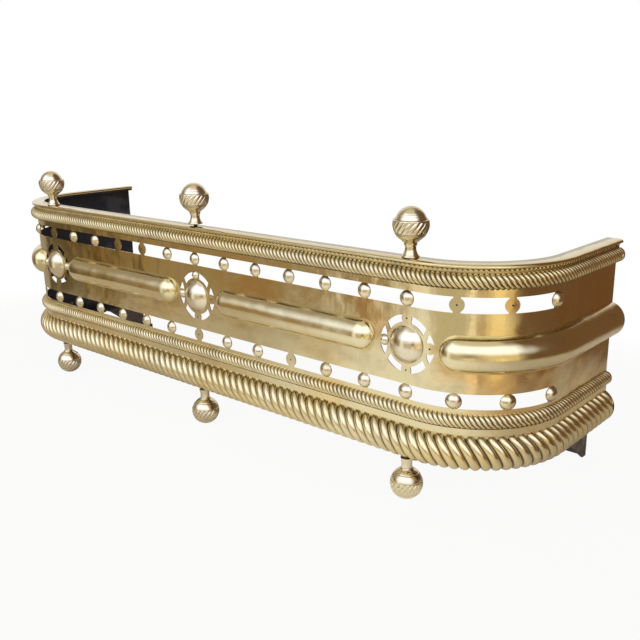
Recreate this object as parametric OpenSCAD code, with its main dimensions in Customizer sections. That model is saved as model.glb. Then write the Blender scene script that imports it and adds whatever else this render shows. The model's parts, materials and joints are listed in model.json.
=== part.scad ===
// Club-shaped fire fender: a pierced sheet panel bent round the front of a hearth, with a flat cap,
// two small rope mouldings, a large gadrooned base moulding, bolsters, bosses, studs, finials and feet.
// Millimetres. X along the front, -Y towards the room, +Z up.
// Origin: middle of the whole object's box at floor level.

/* [Overall] */
// Width over the sheet panel, from one return to the other
panel_w = 1045.2; // [1036:0.2:1060]
// Depth from the front face of the panel to the rear ends
panel_depth = 265.8; // [250:0.1:290]
// Corner radius on the outer face of the panel
corner_r = 126.3; // [124:0.1:128]

/* [Heights] */
// Height of the lower row of studs above the floor
lower_row_z = 144.1; // [143:0.1:146]
// Height of the upper row of studs above the floor
upper_row_z = 260.6; // [258:0.1:262]
// Height of the bosses and straight bolsters above the floor
middle_z = 203.8; // [202:0.1:205]

/* [Studs and slots] */
// Spacing of the studs along the panel
stud_pitch = 63.5; // [63:0.1:64]
// Height of the slots between the studs
slot_h = 19.1; // [17:0.1:19.5]
// Radius of the disc left in the sheet behind each stud
disc_r = 9; // [8.5:0.1:9.2]
// Radius of a stud's dome at its rim
stud_r = 10; // [9:0.1:10.2]
// How far a stud stands off the panel
stud_rise = 6.5; // [5:0.1:7.5]

/* [Bolsters and bosses] */
// How far the straight bolsters stand off the panel
bolster_rise = 16.5; // [15:0.1:17]
// Radius of a straight bolster's section
bolster_r = 22.2; // [21.8:0.1:22.6]
// How far the corner bolsters stand off the panel
corner_bolster_rise = 18.3; // [17:0.1:18.6]
// Radius of a corner bolster's section
corner_bolster_r = 24; // [23.6:0.1:24.4]
// Height of the corner bolsters above the floor
corner_bolster_z = 202; // [201:0.1:203.8]
// Radius of a rosette's boss
boss_r = 23.8; // [22:0.1:24]
// How far a boss stands off the panel
boss_rise = 13; // [10:0.5:15]

/* [Mouldings] */
// Thickness of the sheet panel
sheet_t = 1.2; // [1:0.1:1.4]
// Radius of the two small rope mouldings
small_rope_r = 9.2; // [8.8:0.1:9.4]
// Radius of the large base moulding
base_rope_r = 24.4; // [24:0.1:24.6]
// Spacing of the base moulding's slanted flutes
base_flute_pitch = 13.6; // [12:0.1:15]
// Depth of the base moulding's flutes
base_flute_depth = 1.8; // [1:0.1:2]

/* [Finials and feet] */
// Radius of a finial's cup
finial_r = 21.6; // [20:0.1:21.8]
// Radius of a foot's ball
foot_r = 21.1; // [21:0.1:21.4]
// Number of slanted flutes round each ball
ball_flutes = 20; // [12:1:20]

/* [Hidden] */
$fn = 96;
eps = 0.01;
over = 1;
panel_z0 = 66.5;
panel_z1 = 305.5;
half_front = panel_w / 2 - corner_r;
face_y = bolster_rise - (panel_depth + bolster_rise) / 2;
rear_y = face_y + panel_depth;
centre_y = face_y + corner_r;
arc_len = corner_r * PI / 2;
return_len = panel_depth - corner_r;
s_end = half_front + arc_len + return_len;
last_stud = 9;
rosette_step = 6;
rosette_s = rosette_step * stud_pitch;
upper_missing = [-6, -3, -2, 7, 8];
lower_missing = [-7, 0, 3];

cap_back = -14.4;
cap_lip_n = 4.7;
cap_lip_r = 2.6;
cap_t = 3.8;
cap_fn = 48;
cap_z = panel_z1;
cap_top = cap_z + cap_t;
cove_h = 7;
cove_n = 6.4;
cove_r = 6;
top_rope_n = 1.6;
top_rope_z = 289.3;
lower_rope_n = -1;
lower_rope_z = 120.1;
fillet_z0 = 102.6;
fillet_z1 = 111;
fillet_t = 1.6;
base_n = -9.3;
base_z = 79.6;
base_wall = 3.2;
base_wrap = 8;
flute_slant = 25;
flute_share = 0.3;
small_flute_pitch = 6.7;
small_flute_depth = 0.9;

iron_t = 4;
iron_leg_t = 3;
iron_z = 62.5;
iron_back = -30.5;
iron_leg_top = 128;
top_iron_back = -13.4;
top_iron_t = 4;

pin_r = 1.1;
pin_hole_r = 1.2;
pin_head_r = 2.2;
pin_head_t = 0.8;
neck_w = 8.6;
bolster_wall = 1.2;
bolster_axis_n = bolster_rise - bolster_r;
bolster_half_w = sqrt(bolster_r * bolster_r - bolster_axis_n * bolster_axis_n);
bolster_s0 = 47.6;
bolster_s1 = 333.4;
corner_bolster_s = 424.8;
corner_axis_n = corner_bolster_rise - corner_bolster_r;
corner_half_w = sqrt(corner_bolster_r * corner_bolster_r - corner_axis_n * corner_axis_n);
dome_step = 0.2;

ring_out = 36.5;
ring_in = 27.6;
ring_a0 = 101.5;
ring_a1 = 139.5;
side_opening = [[-31.6, 18.6], [-36.4, 11.5], [-38.6, 5.2], [-27, 5.2], [-28.6, 11.5]];
rosette_disc_c = 32.4;
rosette_disc_r = 7.3;
rosette_stud_r = 6.6;
rosette_stud_rise = 4.6;
boss_rim_t = 1.2;
boss_rim_w = 0.9;
boss_stem_out = 1.5;
boss_stem_r = 2.5;
boss_hole_r = 2.7;
nut_r = 4.6;
nut_h = 4;

finial_n = -5.5;
finial_z = 347.7;
finial_rim = 5;
finial_dome_r = 18.7;
finial_dome_up = 2.05;
finial_ring_z = 324;
finial_ring_r = 6.2;
finial_ring_tube = 1.6;
finial_neck_r = 6.55;
finial_neck_h = 16;
finial_flare_z = 316;
finial_flare_r = 10.6;
finial_lift = 3;
stud_screw_r = 2.5;
stud_hole_r = 2.7;
finial_screw_top = 322;
finial_nut_z = panel_z1 - top_iron_t - nut_h;
foot_n = -5.8;
foot_neck_top = base_z - base_rope_r;
foot_screw_r = 3;
foot_hole_r = 3.2;
foot_screw_z = 45;
foot_flat = 0.3;
foot_step_z = 1.2;
foot_step = 0.6;
foot_neck_r = 6.8;
foot_collar_r = 8.2;
foot_collar_h = 4;
foot_collar_z = 19.3;
foot_top_r = 8;
foot_top_h = 3;
scallop_tilt = 20;
scallop_slant = 32;
scallop_r = 2;
scallop_out = 0.7;

rear_foot_n = -22.1;
rear_foot_t = 3;
rear_foot_len = 91;
rear_foot_tip = 10;
lip_w = 29;
lip_h = 17;
rear_rivet_in = 4.1;
rear_rivet_y = 20;
rear_rivet_step = 40;
rivet_r = 2;
rivet_head_r = 4;
rivet_head_t = 1.8;
base_rivet_z = 88;
base_rivet_step = 2;
end_pin_in = 5;
end_pin_r = 2.6;
end_pin_rise = 2;
end_pin_sink = 0.3;

brass = [0.83, 0.70, 0.42];
rope_brass = [0.80, 0.66, 0.38];
cast_brass = [0.84, 0.72, 0.46];
black_iron = [0.10, 0.10, 0.11];
bare_iron = [0.36, 0.30, 0.25];
steel = [0.45, 0.42, 0.38];

// ---- placing -------------------------------------------------------------------------------

// Puts children at arc position s along the panel's outer face and at height z.
// Local X runs along the panel, local Y up and local Z out of the panel.
module at_panel(s, z) {
    side = s < 0 ? -1 : 1;
    past = abs(s) - half_front;
    if (past <= 0) {
        translate([s, face_y, z])
            rotate([90, 0, 0])
                children();
    } else if (past <= arc_len) {
        translate([side * half_front, centre_y, z])
            rotate([0, 0, side * past / arc_len * 90])
                translate([0, -corner_r, 0])
                    rotate([90, 0, 0])
                        children();
    } else {
        translate([side * panel_w / 2, centre_y + past - arc_len, z])
            rotate([0, 0, side * 90])
                rotate([90, 0, 0])
                    children();
    }
}

module both_sides() {
    children();
    mirror([1, 0, 0])
        children();
}

// Straight length along the front, children drawn as (out of the panel, up).
module sweep_front() {
    translate([half_front, face_y, 0])
        rotate([90, 0, -90])
            linear_extrude(2 * half_front)
                children();
}

module sweep_corner(start = 0, stop = 90) {
    translate([half_front, centre_y, 0])
        rotate([0, 0, start - 90])
            rotate_extrude(angle = stop - start)
                translate([corner_r, 0])
                    children();
}

module sweep_return() {
    translate([panel_w / 2, rear_y, 0])
        rotate([90, 0, 0])
            linear_extrude(return_len)
                children();
}

module sweep() {
    sweep_front()
        children();
    both_sides() {
        sweep_corner()
            children();
        sweep_return()
            children();
    }
}

module disc(r, z0, z1) {
    translate([0, 0, z0])
        cylinder(r = r, h = z1 - z0);
}

// ---- pierced panel -------------------------------------------------------------------------

module panel_section() {
    translate([-sheet_t, panel_z0])
        square([sheet_t, panel_z1 - panel_z0]);
}

module slot_band(z) {
    translate([-2 * sheet_t, z - slot_h / 2])
        square([3 * sheet_t, slot_h]);
}

// The disc and its two necks that are left standing behind a stud.
module stud_bridge() {
    disc(disc_r, -3 * sheet_t, 2 * sheet_t);
    translate([-neck_w / 2, -slot_h, -3 * sheet_t])
        cube([neck_w, 2 * slot_h, 5 * sheet_t]);
}

module front_slots(z) {
    difference() {
        sweep_front()
            slot_band(z);
        for (k = [-rosette_step:rosette_step]) {
            at_panel(k * stud_pitch, z)
                stud_bridge();
        }
    }
}

module corner_slots(z) {
    difference() {
        sweep_corner(0, (last_stud * stud_pitch - half_front) / arc_len * 90)
            slot_band(z);
        for (k = [rosette_step + 1:last_stud]) {
            at_panel(k * stud_pitch, z)
                stud_bridge();
        }
    }
}

function polar(r, a) = [r * cos(a), r * sin(a)];

// One quarter of the rosette's openings: a curved one, and a pointed one beside the side disc.
module rosette_quarter() {
    far = 2 * ring_out;
    difference() {
        circle(r = ring_out);
        circle(r = ring_in);
        polygon([[0, 0], polar(far, ring_a1), polar(far, 190), polar(far, 270), polar(far, 330),
            polar(far, 20), polar(far, 60), polar(far, ring_a0)]);
        translate([0, rosette_disc_c])
            circle(r = rosette_disc_r);
    }
    difference() {
        polygon(side_opening);
        translate([-rosette_disc_c, 0])
            circle(r = rosette_disc_r);
    }
}

module rosette_openings() {
    translate([0, 0, -2 * sheet_t])
        linear_extrude(3 * sheet_t) {
            rosette_quarter();
            mirror([1, 0])
                rosette_quarter();
            mirror([0, 1])
                rosette_quarter();
            rotate(180)
                rosette_quarter();
        }
}

module rosette_holes() {
    for (k = [0:3]) {
        rotate(k * 90)
            translate([rosette_disc_c, 0])
                disc(pin_hole_r, -2 * sheet_t, sheet_t);
    }
    disc(boss_hole_r, -2 * sheet_t, sheet_t);
}

module base_rivet_points() {
    for (k = [-last_stud:base_rivet_step:last_stud]) {
        at_panel(k * stud_pitch, base_rivet_z)
            children();
    }
    both_sides()
        at_panel(s_end - stud_pitch / 2, base_rivet_z)
            children();
}

module pierced_panel() {
    color(brass)
        difference() {
            union() {
                difference() {
                    sweep_front()
                        panel_section();
                    front_slots(lower_row_z);
                    front_slots(upper_row_z);
                    for (k = [-1:1]) {
                        at_panel(k * rosette_s, middle_z) {
                            rosette_openings();
                            rosette_holes();
                        }
                    }
                }
                both_sides() {
                    difference() {
                        sweep_corner()
                            panel_section();
                        corner_slots(lower_row_z);
                        corner_slots(upper_row_z);
                    }
                    sweep_return()
                        panel_section();
                }
            }
            for (k = [-last_stud:last_stud]) {
                at_panel(k * stud_pitch, lower_row_z)
                    disc(pin_hole_r, -2 * sheet_t, sheet_t);
                at_panel(k * stud_pitch, upper_row_z)
                    disc(pin_hole_r, -2 * sheet_t, sheet_t);
            }
            base_rivet_points()
                disc(rivet_r, -2 * sheet_t, sheet_t);
        }
}

// ---- mouldings -----------------------------------------------------------------------------

module cap_section() {
    translate([cap_back, cap_z])
        square([cap_lip_n - cap_back, cap_t]);
    translate([cap_lip_n, cap_top - cap_lip_r])
        circle(r = cap_lip_r, $fn = cap_fn);
    difference() {
        translate([0, cap_z - cove_h])
            square([cove_n, cove_h]);
        translate([cove_n + cove_r / 2, cap_z - cove_h])
            circle(r = cove_r, $fn = cap_fn);
    }
}

module cap_rail() {
    color(brass)
        difference() {
            sweep()
                cap_section();
            finial_points()
                disc(stud_hole_r, cap_z - over, cap_top + over);
        }
}

// Half-round section standing on the panel's face.
module half_round(n, z, r) {
    intersection() {
        translate([n, z])
            circle(r = r);
        translate([0, z - 2 * r])
            square([4 * r, 4 * r]);
    }
}

// What a moulding of radius r loses to its flutes: slanted slices of its outer skin.
module rope_flutes(n, z, r, depth, pitch) {
    count = floor(s_end / pitch);
    w = flute_share * pitch;
    intersection() {
        sweep()
            difference() {
                translate([n, z])
                    circle(r = r + over);
                translate([n, z])
                    circle(r = r - depth);
            }
        for (k = [-count:count]) {
            at_panel(k * pitch, z)
                rotate([0, 0, flute_slant])
                    translate([-w / 2, -2 * r, -3 * r])
                        cube([w, 4 * r, 5 * r]);
        }
    }
}

module top_rope() {
    color(rope_brass)
        difference() {
            sweep()
                half_round(top_rope_n, top_rope_z, small_rope_r);
            rope_flutes(top_rope_n, top_rope_z, small_rope_r, small_flute_depth, small_flute_pitch);
            rope_end_points()
                disc(pin_r, -over, 2 * small_rope_r);
        }
}

module lower_rope() {
    color(rope_brass)
        difference() {
            sweep()
                half_round(lower_rope_n, lower_rope_z, small_rope_r);
            rope_flutes(lower_rope_n, lower_rope_z, small_rope_r, small_flute_depth, small_flute_pitch);
        }
}

module base_fillet() {
    color(brass)
        sweep()
            translate([0, fillet_z0])
                square([fillet_t, fillet_z1 - fillet_z0]);
}

// Hollow half-round moulding that wraps under the lower edge of the panel.
module base_shell_section() {
    difference() {
        translate([base_n, base_z])
            circle(r = base_rope_r);
        translate([base_n, base_z])
            circle(r = base_rope_r - base_wall);
        translate([base_n - 2 * base_rope_r, base_z])
            square([2 * base_rope_r - base_n, 2 * base_rope_r]);
        translate([base_n - base_wrap - 2 * base_rope_r, base_z - 2 * base_rope_r])
            square([2 * base_rope_r, 3 * base_rope_r]);
    }
}

module base_rope() {
    color(rope_brass)
        difference() {
            sweep()
                base_shell_section();
            rope_flutes(base_n, base_z, base_rope_r, base_flute_depth, base_flute_pitch);
            foot_points()
                disc(foot_hole_r, foot_neck_top - over, base_z);
        }
}

// ---- iron frame ----------------------------------------------------------------------------

module base_iron_section() {
    translate([iron_back, iron_z])
        square([-sheet_t - iron_back, iron_t]);
    translate([-sheet_t - iron_leg_t, iron_z])
        square([iron_leg_t, iron_leg_top - iron_z]);
}

// Cuts the base iron's holes out of its children.
module base_iron_drilled() {
    difference() {
        children();
        foot_points()
            disc(foot_hole_r, iron_z - over, iron_z + iron_t + over);
        base_rivet_points()
            disc(rivet_r, -sheet_t - iron_leg_t - over, 0);
        rear_foot_rivet_points()
            disc(rivet_r, iron_z - over, iron_z + iron_t + over);
    }
}

module base_iron_front() {
    color(black_iron)
        base_iron_drilled()
            sweep_front()
                base_iron_section();
}

module base_iron_right() {
    color(black_iron)
        base_iron_drilled()
            union() {
                sweep_corner()
                    base_iron_section();
                sweep_return()
                    base_iron_section();
            }
}

module base_iron_left() {
    mirror([1, 0, 0])
        base_iron_right();
}

module top_iron() {
    color(black_iron)
        difference() {
            sweep()
                translate([top_iron_back, panel_z1 - top_iron_t])
                    square([-sheet_t - top_iron_back, top_iron_t]);
            finial_points()
                disc(stud_hole_r, panel_z1 - top_iron_t - over, panel_z1 + over);
        }
}

// ---- finials and feet ----------------------------------------------------------------------

module finial_points() {
    for (k = [-1:1]) {
        translate([k * rosette_s, face_y - finial_n, 0])
            children();
    }
}

module foot_points() {
    for (k = [-1:1]) {
        translate([k * rosette_s, face_y - foot_n, 0])
            children();
    }
}

// Ball whose seam starts inside the first scallop and goes over its upper half.
module ball(r) {
    rotate([0, scallop_tilt - 90, 0])
        sphere(r = r);
}

module ring(r, tube) {
    rotate_extrude()
        translate([r, 0])
            circle(r = tube, $fn = 32);
}

// Slanted scallops round the lower half of a ball of radius r.
module ball_scallops(r) {
    for (k = [0:ball_flutes - 1]) {
        rotate([0, 0, k * 360 / ball_flutes])
            rotate([0, scallop_tilt, 0])
                translate([r + scallop_out, 0, 0])
                    rotate([scallop_slant, 0, 0])
                        cylinder(r = scallop_r, h = r, center = true, $fn = 32);
    }
}

module finial_body() {
    difference() {
        ball(finial_r);
        ball_scallops(finial_r);
        disc(finial_r + over, finial_rim, finial_r + over);
    }
    translate([0, 0, finial_dome_up])
        sphere(r = finial_dome_r);
    translate([0, 0, finial_ring_z - finial_z])
        ring(finial_ring_r, finial_ring_tube);
    translate([0, 0, finial_flare_z - finial_z])
        cylinder(r = finial_neck_r, h = finial_neck_h);
    translate([0, 0, cap_top - finial_z])
        cylinder(r1 = finial_flare_r, r2 = finial_neck_r, h = finial_flare_z - cap_top);
}

module finial(k) {
    lift = k == 0 ? finial_lift : 0;
    color(cast_brass)
        difference() {
            translate([k * rosette_s, face_y - finial_n, finial_z + lift])
                finial_body();
            translate([k * rosette_s, face_y - finial_n, 0])
                disc(stud_hole_r, cap_top - over, finial_screw_top + over);
        }
}

module foot_body() {
    top = foot_neck_top - foot_r + foot_flat;
    difference() {
        ball(foot_r);
        ball_scallops(foot_r);
        disc(foot_r + over, foot_step_z, foot_r + over);
        disc(foot_r / 2, -2 * foot_r, foot_flat - foot_r);
    }
    difference() {
        sphere(r = foot_r - foot_step);
        disc(foot_r, -foot_r, 0);
    }
    disc(foot_collar_r, foot_collar_z, foot_collar_z + foot_collar_h);
    disc(foot_neck_r, foot_collar_z, top - foot_top_h + over);
    disc(foot_top_r, top - foot_top_h, top);
}

module foot(k) {
    color(cast_brass)
        difference() {
            translate([k * rosette_s, face_y - foot_n, foot_r - foot_flat])
                foot_body();
            translate([k * rosette_s, face_y - foot_n, 0])
                disc(foot_hole_r, foot_screw_z - over, foot_neck_top + over);
        }
}

// ---- rear iron feet ------------------------------------------------------------------------

module rear_foot_rivet_points() {
    both_sides() {
        for (k = [0:1]) {
            translate([panel_w / 2 + iron_back + rear_rivet_in, rear_y - rear_rivet_y, 0])
                translate([0, -k * rear_rivet_step, 0])
                    children();
        }
    }
}

module rear_foot_plate() {
    translate([panel_w / 2 + rear_foot_n, rear_y, 0])
        rotate([90, 0, 90])
            linear_extrude(rear_foot_t)
                polygon([[0, 0], [0, iron_z], [-rear_foot_len, iron_z], [-rear_foot_tip, 0]]);
}

module rear_foot_right() {
    color(bare_iron)
        difference() {
            union() {
                rear_foot_plate();
                translate([panel_w / 2 + rear_foot_n - lip_w, rear_y - rear_foot_t, 0])
                    cube([lip_w + over, rear_foot_t, lip_h]);
                translate([panel_w / 2 + iron_back, rear_y - rear_foot_len, iron_z - rear_foot_t])
                    cube([rear_foot_n - iron_back + over, rear_foot_len, rear_foot_t]);
            }
            rear_foot_rivet_points()
                disc(rivet_r, iron_z - rear_foot_t - over, iron_z + over);
        }
}

module rear_foot_left() {
    mirror([1, 0, 0])
        rear_foot_right();
}

// ---- bolsters ------------------------------------------------------------------------------

// Straight round bar with domed ends, turned about the bolster's axis.
module front_bolster_body(r) {
    end = bolster_half_w;
    bar = bolster_s1 - bolster_s0 - 2 * end;
    translate([bolster_s0 + end, face_y - bolster_axis_n, middle_z])
        rotate([0, 90, 0])
            rotate_extrude()
                intersection() {
                    union() {
                        circle(r = r);
                        translate([0, bar])
                            circle(r = r);
                        square([r, bar]);
                    }
                    translate([0, -r])
                        square([r, bar + 2 * r]);
                }
}

module bolster_front_right() {
    color(brass)
        difference() {
            front_bolster_body(bolster_r);
            front_bolster_body(bolster_r - bolster_wall);
            translate([0, face_y, 0])
                cube([half_front, panel_depth, panel_z1]);
        }
}

module bolster_front_left() {
    mirror([1, 0, 0])
        bolster_front_right();
}

module bolster_section(r, n0) {
    intersection() {
        translate([corner_axis_n, corner_bolster_z])
            circle(r = r);
        translate([n0, corner_bolster_z - r])
            square([2 * r, 2 * r]);
    }
}

// Half-round bar from a domed end on the corner to the rear, kept outside n0 from the panel's face.
module corner_bolster_body(r, n0, gap) {
    turn = (corner_bolster_s - half_front) / arc_len * 90 + asin(corner_half_w / corner_r);
    difference() {
        translate([half_front, centre_y, corner_bolster_z])
            rotate([0, 0, turn])
                translate([0, -corner_r - corner_axis_n, 0])
                    sphere(r = r - dome_step);
        translate([half_front, centre_y, 0])
            cylinder(r = corner_r + n0, h = panel_z1);
    }
    translate([half_front, centre_y, 0])
        mirror([0, 1, 0])
            rotate_extrude(angle = 90 - turn)
                translate([corner_r, 0])
                    bolster_section(r, n0);
    translate([panel_w / 2, rear_y - gap, 0])
        rotate([90, 0, 0])
            linear_extrude(return_len - gap)
                bolster_section(r, n0);
}

module bolster_corner_right() {
    color(brass)
        difference() {
            corner_bolster_body(corner_bolster_r, 0, 0);
            corner_bolster_body(corner_bolster_r - bolster_wall, -bolster_wall, bolster_wall);
        }
}

module bolster_corner_left() {
    mirror([1, 0, 0])
        bolster_corner_right();
}

// ---- bosses and studs ----------------------------------------------------------------------

// Domed cap of rim radius r and height h, standing on z = 0.
module dome(r, h) {
    ball = (r * r + h * h) / (2 * h);
    intersection() {
        translate([0, 0, h - ball])
            sphere(r = ball);
        cylinder(r = r + over, h = h + over);
    }
}

module boss(k) {
    color(cast_brass)
        at_panel(k * rosette_s, middle_z) {
            disc(boss_r, 0, boss_rim_t);
            translate([0, 0, boss_rim_t])
                dome(boss_r - boss_rim_w, boss_rise - boss_rim_t);
            disc(boss_stem_r, -sheet_t - nut_h - boss_stem_out, over);
        }
}

module boss_nuts() {
    color(steel)
        for (k = [-1:1]) {
            at_panel(k * rosette_s, middle_z)
                translate([0, 0, -sheet_t - nut_h])
                    difference() {
                        cylinder(r = nut_r, h = nut_h, $fn = 6);
                        disc(boss_stem_r, -over, nut_h + over);
                    }
        }
}

// A dome on a pin that goes through the sheet and is spread behind it.
module stud(r, h) {
    dome(r, h);
    disc(pin_r, -sheet_t - eps, over);
    disc(pin_head_r, -sheet_t - pin_head_t, -sheet_t);
}

module stud_row(z, missing) {
    for (k = [-last_stud:last_stud]) {
        if (len(search(k, missing)) == 0) {
            at_panel(k * stud_pitch, z)
                stud(stud_r, stud_rise);
        }
    }
}

module upper_studs() {
    color(cast_brass)
        stud_row(upper_row_z, upper_missing);
}

module lower_studs() {
    color(cast_brass)
        stud_row(lower_row_z, lower_missing);
}

module rosette_stud(k, angle) {
    at_panel(k * rosette_s, middle_z)
        rotate(angle)
            translate([rosette_disc_c, 0, 0])
                stud(rosette_stud_r, rosette_stud_rise);
}

module rosette_studs() {
    color(cast_brass) {
        rosette_stud(-1, 0);
        rosette_stud(-1, 180);
        rosette_stud(0, 90);
        rosette_stud(0, 180);
        rosette_stud(1, 180);
    }
}

// ---- fasteners -----------------------------------------------------------------------------

module finial_screws() {
    color(steel)
        finial_points()
            disc(stud_screw_r, finial_nut_z - 2 * over, finial_screw_top);
}

module finial_nuts() {
    color(steel)
        finial_points()
            translate([0, 0, finial_nut_z])
                difference() {
                    rotate([0, 0, 30])
                        cylinder(r = nut_r, h = nut_h, $fn = 6);
                    disc(stud_screw_r, -over, nut_h + over);
                }
}

module foot_screws() {
    color(steel)
        foot_points()
            disc(foot_screw_r, foot_screw_z, iron_z + iron_t);
}

module base_rivets() {
    color(steel)
        base_rivet_points() {
            disc(rivet_r - eps, -sheet_t - iron_leg_t, 0);
            dome(rivet_head_r, rivet_head_t);
            translate([0, 0, -sheet_t - iron_leg_t])
                mirror([0, 0, 1])
                    dome(rivet_head_r, rivet_head_t);
        }
}

module rear_foot_rivets() {
    color(steel)
        rear_foot_rivet_points() {
            disc(rivet_r - eps, iron_z - rear_foot_t, iron_z + iron_t);
            translate([0, 0, iron_z + iron_t])
                dome(rivet_head_r, rivet_head_t);
            translate([0, 0, iron_z - rear_foot_t])
                mirror([0, 0, 1])
                    dome(rivet_head_r, rivet_head_t);
        }
}

module rope_end_points() {
    both_sides()
        at_panel(s_end - end_pin_in, top_rope_z)
            children();
}

module rope_end_pins() {
    color(cast_brass)
        rope_end_points() {
            disc(pin_r - eps, 0, top_rope_n + small_rope_r);
            translate([0, 0, top_rope_n + small_rope_r - end_pin_sink])
                dome(end_pin_r, end_pin_rise);
        }
}

pierced_panel();
cap_rail();
top_rope();
lower_rope();
base_fillet();
base_rope();
top_iron();
base_iron_front();
base_iron_left();
base_iron_right();
finial(-1);  // finial_left
finial(0);  // finial_centre
finial(1);  // finial_right
foot(-1);  // foot_left
foot(0);  // foot_centre
foot(1);  // foot_right
rear_foot_left();
rear_foot_right();
bolster_front_left();
bolster_front_right();
bolster_corner_left();
bolster_corner_right();
boss(-1);  // boss_left
boss(0);  // boss_centre
boss(1);  // boss_right
boss_nuts();
upper_studs();
lower_studs();
rosette_studs();
finial_screws();
finial_nuts();
foot_screws();
base_rivets();
rear_foot_rivets();
rope_end_pins();
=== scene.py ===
import json
import math

import bpy
import numpy as np
from mathutils import Matrix, Vector
from mathutils.geometry import delaunay_2d_cdt


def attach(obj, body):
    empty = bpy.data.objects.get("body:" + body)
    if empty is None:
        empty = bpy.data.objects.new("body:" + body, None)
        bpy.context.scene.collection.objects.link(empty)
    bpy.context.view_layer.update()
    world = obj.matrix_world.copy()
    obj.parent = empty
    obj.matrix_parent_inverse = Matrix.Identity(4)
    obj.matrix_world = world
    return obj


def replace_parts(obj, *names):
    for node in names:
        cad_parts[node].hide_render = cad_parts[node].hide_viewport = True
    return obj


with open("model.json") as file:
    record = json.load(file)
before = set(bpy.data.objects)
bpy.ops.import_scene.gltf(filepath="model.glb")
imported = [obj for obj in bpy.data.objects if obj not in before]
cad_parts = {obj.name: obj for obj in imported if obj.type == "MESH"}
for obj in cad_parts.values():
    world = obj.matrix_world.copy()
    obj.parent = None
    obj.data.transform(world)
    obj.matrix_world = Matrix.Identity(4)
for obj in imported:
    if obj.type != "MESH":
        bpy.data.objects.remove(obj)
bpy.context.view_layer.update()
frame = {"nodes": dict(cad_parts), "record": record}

# ---- sizes, in metres, the same as the part's source ----------------------------------------

MM = 0.001
HALF_FRONT = 396.3 * MM
CORNER_R = 126.3 * MM
DEPTH = 265.8 * MM
FACE_Y = -124.65 * MM
ARC = CORNER_R * math.pi / 2
S_END = HALF_FRONT + ARC + DEPTH - CORNER_R
PITCH_MM = 63.5
PITCH = PITCH_MM * MM
LOWER_Z = 144.1 * MM
UPPER_Z = 260.6 * MM
MIDDLE_Z = 203.8 * MM
SHEET_T = 1.2 * MM
PANEL_Z0 = 66.5 * MM
PANEL_Z1 = 305.5 * MM
CAP_TOP = 309.3 * MM
FINIAL_SET_BACK = 5.5 * MM
MIDDLE_FINIAL_LIFT = 3 * MM
FOOT_SET_BACK = 5.8 * MM

# Places are counted in studs from the middle. Round a rosette: right, left, top and bottom of its middle.
LAST_STUD = 9
UPPER_MISSING = (-6, -3, -2, 7, 8)
LOWER_MISSING = (-7, 0, 3)
ROSETTES = ((-6, "left"), (0, "centre"), (6, "right"))
ROSETTE_STUDS = ((-6, 1, 0), (-6, -1, 0), (0, 0, 1), (0, -1, 0), (6, -1, 0))
ROSETTE_MISSING = ((-6, 0, 1), (-6, 0, -1), (0, 1, 0), (0, 0, -1), (6, 1, 0), (6, 0, 1), (6, 0, -1))

# The panel's piercings and the turned pieces are drawn in millimetres.
SLOT_HALF = 9.55
DISC_R = 9.0
NECK_HALF = 4.3
PIN_HOLE_R = 1.2
RING_OUT = 36.5
RING_IN = 27.6
ROSETTE_DISC = 32.4
ROSETTE_DISC_R = 7.3
FINIAL_R = 21.6
FINIAL_CENTRE = 38.4
DOME_R = 18.7
DOME_CENTRE = 40.45
FOOT_R = 21.1
FOOT_CENTRE = 20.8
FLUTES = 18
FLUTE_SLANT = -1.95
FLUTE_DEPTH = 1.8

# Radius and height of the studs' domes.
STUD = (10.0, 6.5)
ROSETTE_STUD = (6.6, 4.8)


def plan(s):
    """Point on the panel's outer face and outward normal, for arc positions s."""
    s = np.asarray(s, float)
    side = np.where(s < 0, -1.0, 1.0)
    t = np.abs(s)
    on_arc = (t > HALF_FRONT) & (t <= HALF_FRONT + ARC)
    past = t > HALF_FRONT + ARC
    ang = np.clip((t - HALF_FRONT) / CORNER_R, 0, math.pi / 2)
    x = np.where(t <= HALF_FRONT, t, HALF_FRONT + CORNER_R * np.sin(ang))
    y = np.where(on_arc | past, CORNER_R * (1 - np.cos(ang)), 0.0)
    y = y + np.where(past, t - HALF_FRONT - ARC, 0.0)
    nx = np.where(t <= HALF_FRONT, 0.0, np.sin(ang))
    ny = np.where(t <= HALF_FRONT, -1.0, -np.cos(ang))
    return side * x, FACE_Y + y, side * nx, ny


def place(s, n, z):
    """Points at arc position s, distance n out of the panel's face and height z."""
    x, y, nx, ny = plan(s)
    return np.stack([x + n * nx, y + n * ny, z + 0 * x], -1)


# ---- mesh helpers ---------------------------------------------------------------------------

PIECES = []


def new_object(name, verts, faces, slot, sharp=40, cavity=None):
    """A smooth-shaded piece of the fender. cavity, one value a vertex, says how dark its hollows, creases and
    undersides are made: dirt, and painted shade.
    """
    mesh = bpy.data.meshes.new(name)
    mesh.from_pydata([tuple(map(float, v)) for v in verts], [], [list(map(int, f)) for f in faces])
    mesh.validate(clean_customdata=False)
    mesh.update()
    if cavity is not None:
        layer = mesh.attributes.new("cavity", "FLOAT", "POINT")
        layer.data.foreach_set("value", np.asarray(cavity, np.float32))
    mesh.polygons.foreach_set("use_smooth", [True] * len(mesh.polygons))
    mesh.set_sharp_from_angle(angle=math.radians(sharp))
    obj = bpy.data.objects.new(name, mesh)
    bpy.context.scene.collection.objects.link(obj)
    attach(obj, "root")
    PIECES.append((obj, slot))
    return obj


class Bag:
    """Collects several shapes into one mesh."""

    def __init__(self):
        self.v, self.f, self.cav, self.count = [], [], [], 0

    def add(self, verts, faces, cavity=None):
        verts = np.asarray(verts, float).reshape(-1, 3)
        self.v.append(verts)
        self.f += [[i + self.count for i in f] for f in faces]
        self.cav.append(np.zeros(len(verts)) if cavity is None else np.asarray(cavity, float).ravel())
        self.count += len(verts)

    def build(self, name, slot, sharp=40):
        return new_object(name, np.concatenate(self.v), self.f, slot, sharp, np.concatenate(self.cav))


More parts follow.
